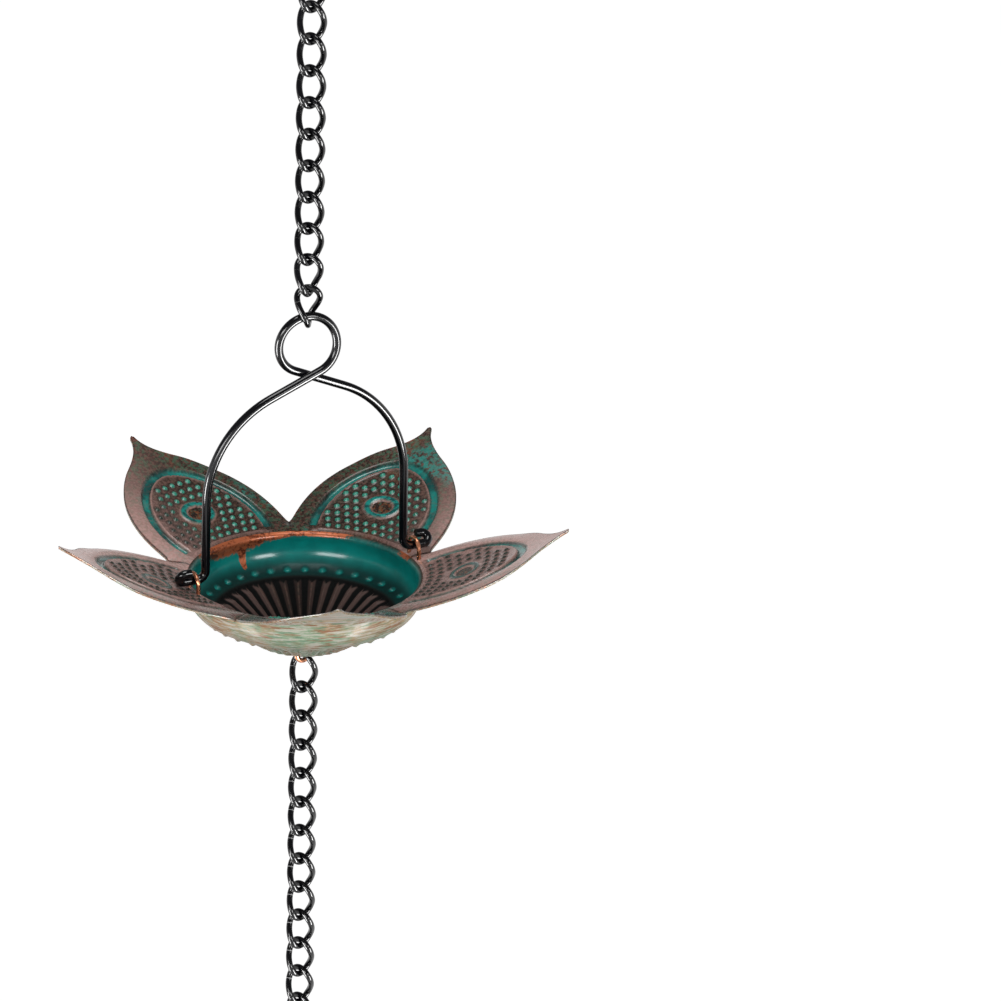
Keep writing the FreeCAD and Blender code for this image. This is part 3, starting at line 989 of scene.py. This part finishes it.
@dataclass
class FlutedBowl:
    """The bowl under the petals: a rounded wall, beads, a fluted pan and a drained floor. Millimetres."""

    petal: PetalSheet
    wall_bulge: float = 0.9
    wall_bulge_drop: float = 3.6
    lip_drop: float = 1.5
    lip_pull_inside: float = -0.15
    lip_pull_outside: float = 0.75
    step_inset: float = 5.2
    step_drop: float = 10.0
    ledge_width: float = 4.4
    ledge_fall: float = 1.55
    floor_radius: float = 13.4
    floor_drop: float = 17.95
    floor_sheet: float = 0.85
    flutes: int = 36
    flute_depth: float = 1.1
    flute_arch: float = 1.9
    flute_top: float = 25.9
    flute_soft: float = 0.9
    flute_middle: float = 0.35
    foot_span: tuple[float, float] = (-0.6, 1.2)
    bead_radius: float = 1.4
    bead_depth: float = 0.8
    bead_drop: float = 9.4
    bead_outside: float = 0.75
    push_slope: float = 0.7
    # heights over which the painted shade at the wall's foot fades in
    shade_levels: tuple[float, float] = (-9.4, -4.8)
    drains: int = 4
    drain_radius: float = 1.75
    drain_reach: float = 9.0
    drain_turn: float = 21.6
    smear_turn: float = 107.0
    smear_half: float = 26.0
    smear_length: float = 5.6
    drip_turn: float = 99.0
    drip_half: float = 3.4
    drip_taper: float = 2.4
    drip_length: float = 9.0
    line_turn: float = 66.0
    line_half: float = 26.0
    patch_turn: float = 4.0
    patch_half: float = 9.0
    # band of the back flutes that gets painted shade
    shade_turn: float = 72.0
    shade_half: float = 26.0
    lip_steps: int = 9
    wall_steps: int = 26
    ledge_steps: int = 12
    pan_steps: int = 26
    steps_per_flute: int = 10
    steps_per_drain: int = 48

    def profile(self, outside: bool) -> np.ndarray:
        """Section of one face of the bowl, from under the petals to the edge of the floor.

        Args:
            outside: Whether it is the outer face.

        Returns:
            Rows of distance from the axis and height.
        """
        rim = self.petal.rim_radius
        step = (rim - self.step_inset, -self.step_drop)
        x, z, r = circle_through(((rim, 0.0), (rim + self.wall_bulge, -self.wall_bulge_drop), step))
        r += self.petal.sheet if outside else 0.0
        top = math.asin((-self.lip_drop - z) / r)
        end = math.atan2(step[1] - z, step[0] - x)
        lip = self._lip(outside, np.array([x + r * math.cos(top), -self.lip_drop]))
        a = np.linspace(top, end, self.wall_steps)[1:]
        wall = np.stack([x + r * np.cos(a), z + r * np.sin(a)], 1)
        drop = self.floor_sheet if outside else 0.0
        ledge_start = wall[-1]
        ledge_end = np.array([ledge_start[0] - self.ledge_width, step[1] - self.ledge_fall - drop])
        foot = np.array([self.floor_radius, -self.floor_drop - drop])
        runs = [lip, wall]
        for begin, finish, count in (
            (ledge_start, ledge_end, self.ledge_steps), (ledge_end, foot, self.pan_steps)
        ):
            runs.append(begin + (finish - begin) * np.linspace(0.0, 1.0, count + 1)[1:, None])
        return np.vstack(runs)

    def _lip(self, outside: bool, wall_top: np.ndarray) -> np.ndarray:
        """Section of the bend from the petals' root into the wall.

        Args:
            outside: Whether it is the outer face.
            wall_top: Where the wall's arc starts.

        Returns:
            Rows of distance from the axis and height.
        """
        petal = self.petal
        start, near = np.array(petal.inner_radius), 0.1
        level = float(petal.height(start) + (-1.0 if outside else 1.0) * petal.half_sheet(start))
        slope = float(petal.height(start + near) - petal.height(start)) / near
        reach = petal.inner_radius
        reach -= petal.rim_radius + (self.lip_pull_outside if outside else self.lip_pull_inside)
        root = np.array([petal.inner_radius, level])
        pull = np.array([petal.inner_radius - reach, level - slope * reach])
        t = np.linspace(0.0, 1.0, self.lip_steps)[:, None]
        return (1 - t) ** 2 * root + 2 * t * (1 - t) * pull + t * t * wall_top

    def add(self, plan: MeshPlan) -> None:
        """Add both faces of the wall and the pan to a mesh.

        Args:
            plan: The mesh to add to.
        """
        turn = np.linspace(0.0, 2 * math.pi, self.flutes * self.steps_per_flute, endpoint=False)[None, :]
        share = (turn * self.flutes / (2 * math.pi)) % 1.0
        scallop = 1.0 - (2.0 * share - 1.0) ** 2
        ledge_end = self.petal.rim_radius - self.step_inset - self.ledge_width
        for outside in (False, True):
            section = self.profile(outside)
            away, level = section[:, :1], section[:, 1:]
            fluted = self._fluted(away, scallop)
            bead = self._beads(section, share, outside)
            depth = self.flute_depth * np.clip(away / ledge_end, 0.0, 1.0)
            boss = (self.bead_outside if outside else 1.0) * self.bead_depth
            push = self.push_slope * (depth * fluted * (scallop - self.flute_middle) + boss * bead)
            radius = away + push
            points = np.stack([radius * np.cos(turn), radius * np.sin(turn), level - push], -1)
            if outside:
                zones = {Zone.UNDER: np.ones(radius.shape)}
            else:
                zones = self._zones(*np.broadcast_arrays(away, level, turn, fluted, scallop))
                # painted shade: the wall is darker towards the bottom
                foot_shade = 1.0 - smooth(*self.shade_levels, level)
                zones[Zone.HOLLOW_SHADE] = foot_shade * (1.0 - fluted) * (1.0 - 0.6 * bead)
                zones[Zone.DOT] = bead
            plan.add_grid(points, zones, closed=True, flip=outside)

    def _fluted(self, away: np.ndarray, scallop: np.ndarray) -> np.ndarray:
        """Where the pan is fluted, under arched heads.

        Args:
            away: Distances from the axis.
            scallop: Place across a flute, 0 on a ridge and 1 in a channel.

        Returns:
            A mask from 0 to 1.
        """
        down = self.flute_top - away
        arch = self.flute_arch * (1.0 - scallop)
        foot = smooth(*(self.floor_radius + off for off in self.foot_span), away)
        return smooth(0.0, self.flute_soft, down - arch) * foot

    def _beads(self, section: np.ndarray, share: np.ndarray, outside: bool) -> np.ndarray:
        """The row of round beads at the foot of the wall, one over each flute.

        Args:
            section: The face's rows of distance and height.
            share: Place across a flute, from 0 to 1.
            outside: Whether it is the outer face.

        Returns:
            Height of the beads, from 0 to 1.
        """
        away, level = section[:, :1], section[:, 1:]
        across = (share - 0.5) * 2 * math.pi / self.flutes * away
        middle = section[np.argmin(np.abs(level + self.bead_drop + (self.floor_sheet if outside else 0.0)))]
        off = np.hypot(across, np.hypot(away - middle[0], level - middle[1]))
        return dome(off / self.bead_radius)

    def _zones(
        self, away: np.ndarray, level: np.ndarray, turn: np.ndarray, fluted: np.ndarray, scallop: np.ndarray
    ) -> Masks:
        """Masks of the places inside the bowl.

        Args:
            away: Distances from the axis.
            level: Heights.
            turn: Angles about the axis.
            fluted: Where the flutes are.
            scallop: Place across a flute, 0 on a ridge and 1 in a channel.

        Returns:
            Masks from 0 to 1.
        """
        petal = self.petal
        wall = np.where(level < -1.0, 1.0, 1.0 - smooth(petal.rim_radius - 0.2, petal.inner_radius, away))
        ledge = 1.0 - smooth(-self.step_drop - 0.5, -self.step_drop + 0.1, level)
        degrees = np.degrees(turn)
        smear = bell(degrees, self.smear_turn, self.smear_half, 4)
        below = np.clip(-level / self.drip_length, 0.0, 1.0)
        drip = bell(degrees, self.drip_turn, self.drip_half - self.drip_taper * below)
        drip = drip * (1.0 - smooth(0.8, 1.0, below))
        thin = 0.75 * bell(degrees, self.line_turn, self.line_half, 6)
        patch = 0.6 * bell(degrees, self.patch_turn, self.patch_half)
        worn = smooth(-0.9 - self.smear_length * smear, 0.2, level)
        # painted shade: ridges and their lines fade on the back flutes
        beside_painted_shade = 0.95 - 0.75 * bell(degrees, self.shade_turn, self.shade_half)
        return {
            Zone.WALL: wall * (1.0 - ledge),
            Zone.FLUTE: ledge * (1.0 - 0.85 * (1.0 - scallop) ** 3 * fluted),
            Zone.RIDGE: beside_painted_shade * fluted * (1.0 - smooth(0.6, 0.8, scallop)),
            # painted highlight along the sides of the ridges
            Zone.LINE: 0.45 * beside_painted_shade * fluted * band(0.68, 0.76, 0.06, scallop),
            Zone.RIM: np.maximum(worn * np.maximum(np.maximum(smear, thin), patch), 1.2 * drip),
        }

    def add_floor(self, plan: MeshPlan) -> None:
        """Add the flat floor, one sector round each drain hole.

        Args:
            plan: The mesh to add to.
        """
        half = math.pi / self.drains
        corners = [math.pi]
        for s in (-1, 1):
            corner = self.floor_radius * math.cos(half) - self.drain_reach
            corners.append(math.atan2(s * self.floor_radius * math.sin(half), corner))
        ray = np.linspace(-math.pi, math.pi, self.steps_per_drain, endpoint=False)
        ray = np.unique(np.concatenate([ray, corners]))
        ray = ray[ray > -math.pi + TINY]
        far = self._sector_reach(ray, half)
        spread = np.linspace(0.0, 1.0, 9)[:, None] ** 1.3
        reach = self.drain_radius + (far - self.drain_radius) * spread
        for k in range(self.drains):
            turn = math.radians(self.drain_turn) + 2 * half * (k + 0.5)
            along, across = self.drain_reach + reach * np.cos(ray), reach * np.sin(ray)
            x = along * math.cos(turn) - across * math.sin(turn)
            y = along * math.sin(turn) + across * math.cos(turn)
            rims = []
            for outside in (False, True):
                level = -self.floor_drop - (self.floor_sheet if outside else 0.0)
                zones = {Zone.UNDER if outside else Zone.FLUTE: np.ones(x.shape)}
                points = np.stack([x, y, np.full(x.shape, level)], -1)
                rims.append(plan.add_grid(points, zones, closed=True, flip=not outside)[0])
            plan.join(rims[0], rims[1], flip=True)

    def _sector_reach(self, ray: np.ndarray, half: float) -> np.ndarray:
        """Distance from a drain hole's middle to the side of its sector of the floor.

        Args:
            ray: Directions from the hole's middle, 0 pointing away from the axis.
            half: Half of the sector's angle.

        Returns:
            The distances.
        """
        c, s = np.cos(ray), np.sin(ray)
        b = self.drain_reach * c
        reach = -b + np.sqrt(b * b + self.floor_radius**2 - self.drain_reach**2)
        for sign in (-1, 1):
            slope = s * math.cos(half) * sign - c * math.sin(half)
            side = self.drain_reach * math.sin(half) / np.where(slope > TINY, slope, np.inf)
            reach = np.where(slope > TINY, np.minimum(reach, side), reach)
        return reach


@dataclass
class FlowerCup:
    """The pressed flower cup, with its petals and its bowl."""

    body: str = "cup"
    node: str = "flower_cup"
    slot: str = "patina"
    first_petal: float = 180.0
    petal: PetalSheet = field(default_factory=PetalSheet)
    bowl: FlutedBowl = field(init=False)
    pieces: list[bpy.types.Object] = field(default_factory=list)

    def __post_init__(self) -> None:
        """Fit the bowl to the petals."""
        self.bowl = FlutedBowl(self.petal)

    def rim_level(self) -> float:
        """Height of the bowl's rim, in metres."""
        low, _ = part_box(self.node)
        return low.z + (self.bowl.floor_drop + self.bowl.floor_sheet) * MM

    def middle(self) -> Vector:
        """Middle of the cup's box."""
        low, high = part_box(self.node)
        return (low + high) / 2

    def build(self) -> None:
        """Make the petals and the bowl at the node's place."""
        lift = self.rim_level()
        petals = MeshPlan()
        for k in range(self.petal.petals):
            self.petal.add_petal(petals, math.radians(self.first_petal) + 2 * math.pi * k / self.petal.petals)
        self.pieces.append(petals.build("flower_petals", lift))
        basin = MeshPlan()
        self.bowl.add(basin)
        self.bowl.add_floor(basin)
        self.pieces.append(basin.build("flower_bowl", lift))

    def dress(self, petal_finish: bpy.types.Material, bowl_finish: bpy.types.Material) -> None:
        """Give the pieces their finishes and tie them to the cup's body.

        Args:
            petal_finish: The petals' material.
            bowl_finish: The bowl's material.
        """
        for piece, finish in zip(self.pieces, (petal_finish, bowl_finish)):
            piece.data.materials.append(finish)
            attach(piece, self.body)
            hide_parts(self.node)
            log.info("%s: %d faces", piece.name, len(piece.data.polygons))


@dataclass
class WireWork:
    """Bent wire pieces whose solids show as they are."""

    name: str
    prefixes: tuple[str, ...]

    def nodes(self) -> list[bpy.types.Object]:
        """The solids of this group."""
        return [node for name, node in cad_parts.items() if name.startswith(self.prefixes)]

    def dress(self, finish: bpy.types.Material) -> None:
        """Give each wire its finish.

        Args:
            finish: The wires' material.
        """
        for node in self.nodes():
            node.data.materials.clear()
            node.data.materials.append(finish)
            log.info("%s: %s", self.name, node.name)


@dataclass
class Lamp:
    """One soft lamp, placed about the object as seen from the camera. Degrees, metres and watts."""

    name: str
    turn: float
    rise: float
    away: float
    width: float
    length: float
    power: float
    glint: bool = False

    def build(self, aim: Vector, heading: float) -> None:
        """Hang the lamp.

        Args:
            aim: What it shines on.
            heading: Direction that the camera looks, in radians from +Y towards +X.
        """
        data = bpy.data.lights.new(self.name, "AREA")
        data.shape = "RECTANGLE"
        data.size, data.size_y = self.width, self.length
        data.energy = self.power
        towards = direction(heading + math.pi - math.radians(self.turn), math.radians(self.rise))
        lamp = bpy.data.objects.new(self.name, data)
        lamp.visible_diffuse = not self.glint
        lamp.location = aim + self.away * towards
        lamp.rotation_euler = (-towards).to_track_quat("-Z", "Y").to_euler()
        bpy.context.scene.collection.objects.link(lamp)


@dataclass
class Studio:
    """Camera, lamps and white surroundings. Degrees, metres and, for the lens, pixels of the picture."""

    picture: float = 1001.0
    focal: float = 5000.5
    sensor: float = 36.0
    clip: tuple[float, float] = (0.05, 50.0)
    turn: float = 25.06
    elevation: float = 21.58
    distance: float = 1.4212
    rim_drop: float = 0.0184
    swing: float = 2.392
    pitch: float = -21.34
    roll: float = 1.6
    floor_drop: float = 1.0
    floor_half: float = 6.0
    sky: Colour = (1.0, 1.0, 1.0)
    ambient: float = 0.13
    horizon: float = 1.0
    dimming: tuple[float, float] = (0.08, 0.4)
    lamps: tuple[Lamp, ...] = (
        Lamp("box_top", 0.0, 86.0, 1.0, 0.5, 0.5, 5.5),
        Lamp("box_left", -24.0, 19.0, 1.2, 0.6, 0.3, 6.5),
        Lamp("box_right", 45.0, 19.0, 1.2, 0.4, 0.3, 5.5),
        Lamp("strip_left", -54.0, -24.0, 1.2, 0.3, 1.1, 40.0, True),
        Lamp("strip_right", 58.0, -24.0, 1.2, 0.3, 1.1, 40.0, True),
    )

    @property
    def heading(self) -> float:
        """Direction that the camera looks, in radians from +Y towards +X."""
        return math.radians(self.turn + self.swing)

    def build_camera(self, rim: float) -> None:
        """Set the camera at the photograph's place.

        Args:
            rim: Height of the bowl's rim.
        """
        back = direction(math.radians(self.turn) + math.pi, math.radians(self.elevation))
        eye = Vector((0.0, 0.0, rim + self.rim_drop)) + self.distance * back
        look = direction(self.heading, math.radians(self.pitch))
        roll = math.radians(self.roll)
        right = look.cross(Vector((0, 0, 1))).normalized()
        up = right.cross(look)
        side = right * math.cos(roll) + up * math.sin(roll)
        top = up * math.cos(roll) - right * math.sin(roll)
        data = bpy.data.cameras.new("photo_camera")
        data.sensor_fit = "HORIZONTAL"
        data.sensor_width = self.sensor
        data.lens = self.sensor * self.focal / self.picture
        data.clip_start, data.clip_end = self.clip
        camera = bpy.data.objects.new("photo_camera", data)
        camera.matrix_world = Matrix.Translation(eye) @ Matrix((side, top, -look)).transposed().to_4x4()
        bpy.context.scene.collection.objects.link(camera)
        bpy.context.scene.camera = camera

    def build_light(self, aim: Vector) -> None:
        """Hang the lamps and light the surroundings, white at the horizon and dim overhead.

        Args:
            aim: What the lamps shine on.
        """
        for lamp in self.lamps:
            lamp.build(aim, self.heading)
        world = bpy.data.worlds.new("surroundings")
        sheet = NodeSheet(world)
        way = sheet.node("ShaderNodeTexCoord").outputs["Generated"]
        parts = sheet.node("ShaderNodeSeparateXYZ", None, {0: way})
        dim = Signal(sheet, parts.outputs["Z"]).ramp(*self.dimming)
        strength = self.horizon - (self.horizon - self.ambient) * dim
        sky = sheet.node("ShaderNodeBackground", None, {"Color": self.sky, "Strength": strength})
        sheet.node("ShaderNodeOutputWorld", None, {"Surface": sky.outputs[0]})
        bpy.context.scene.world = world

    def build_floor(self, lowest: float, finish: bpy.types.Material) -> None:
        """Lay the white floor below the chain.

        Args:
            lowest: Height of the object's lowest point.
            finish: The floor's material.
        """
        level, half = lowest - self.floor_drop, self.floor_half
        mesh = bpy.data.meshes.new("floor")
        corners = [(-half, -half, level), (half, -half, level), (half, half, level), (-half, half, level)]
        mesh.from_pydata(corners, [], [(0, 1, 2, 3)])
        mesh.materials.append(finish)
        floor = bpy.data.objects.new("floor", mesh)
        bpy.context.scene.collection.objects.link(floor)
        floor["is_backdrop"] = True


def as_lists(box: Sequence[Any]) -> list[list[float]]:
    """A box's two corners as plain lists."""
    return [[float(value) for value in corner] for corner in box]


def main() -> None:
    """Build the pieces, dress them and light them."""
    logging.basicConfig(level=logging.INFO, format="%(name)s: %(message)s")
    bpy.context.scene.view_settings.view_transform = "Standard"
    solids = as_lists(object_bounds())
    cup = FlowerCup()
    cup.build()
    pooled = AgedPatina(name="pooled_patina", level=0.12, gloss=0.4, coat=0.9, coat_gloss=0.17, sheen=0.12)
    cup.dress(AgedPatina().material(), pooled.material())
    WireWork("enamelled wire", ("upper_link", "lower_link", "bail")).dress(GlossEnamel().material())
    WireWork("copper wire", ("eyelet", "bottom_loop")).dress(CopperWire().material())
    studio = Studio()
    studio.build_camera(cup.rim_level())
    studio.build_light(cup.middle())
    studio.build_floor(solids[0][2], WhiteStage().material())


if __name__ == "__main__":
    main()
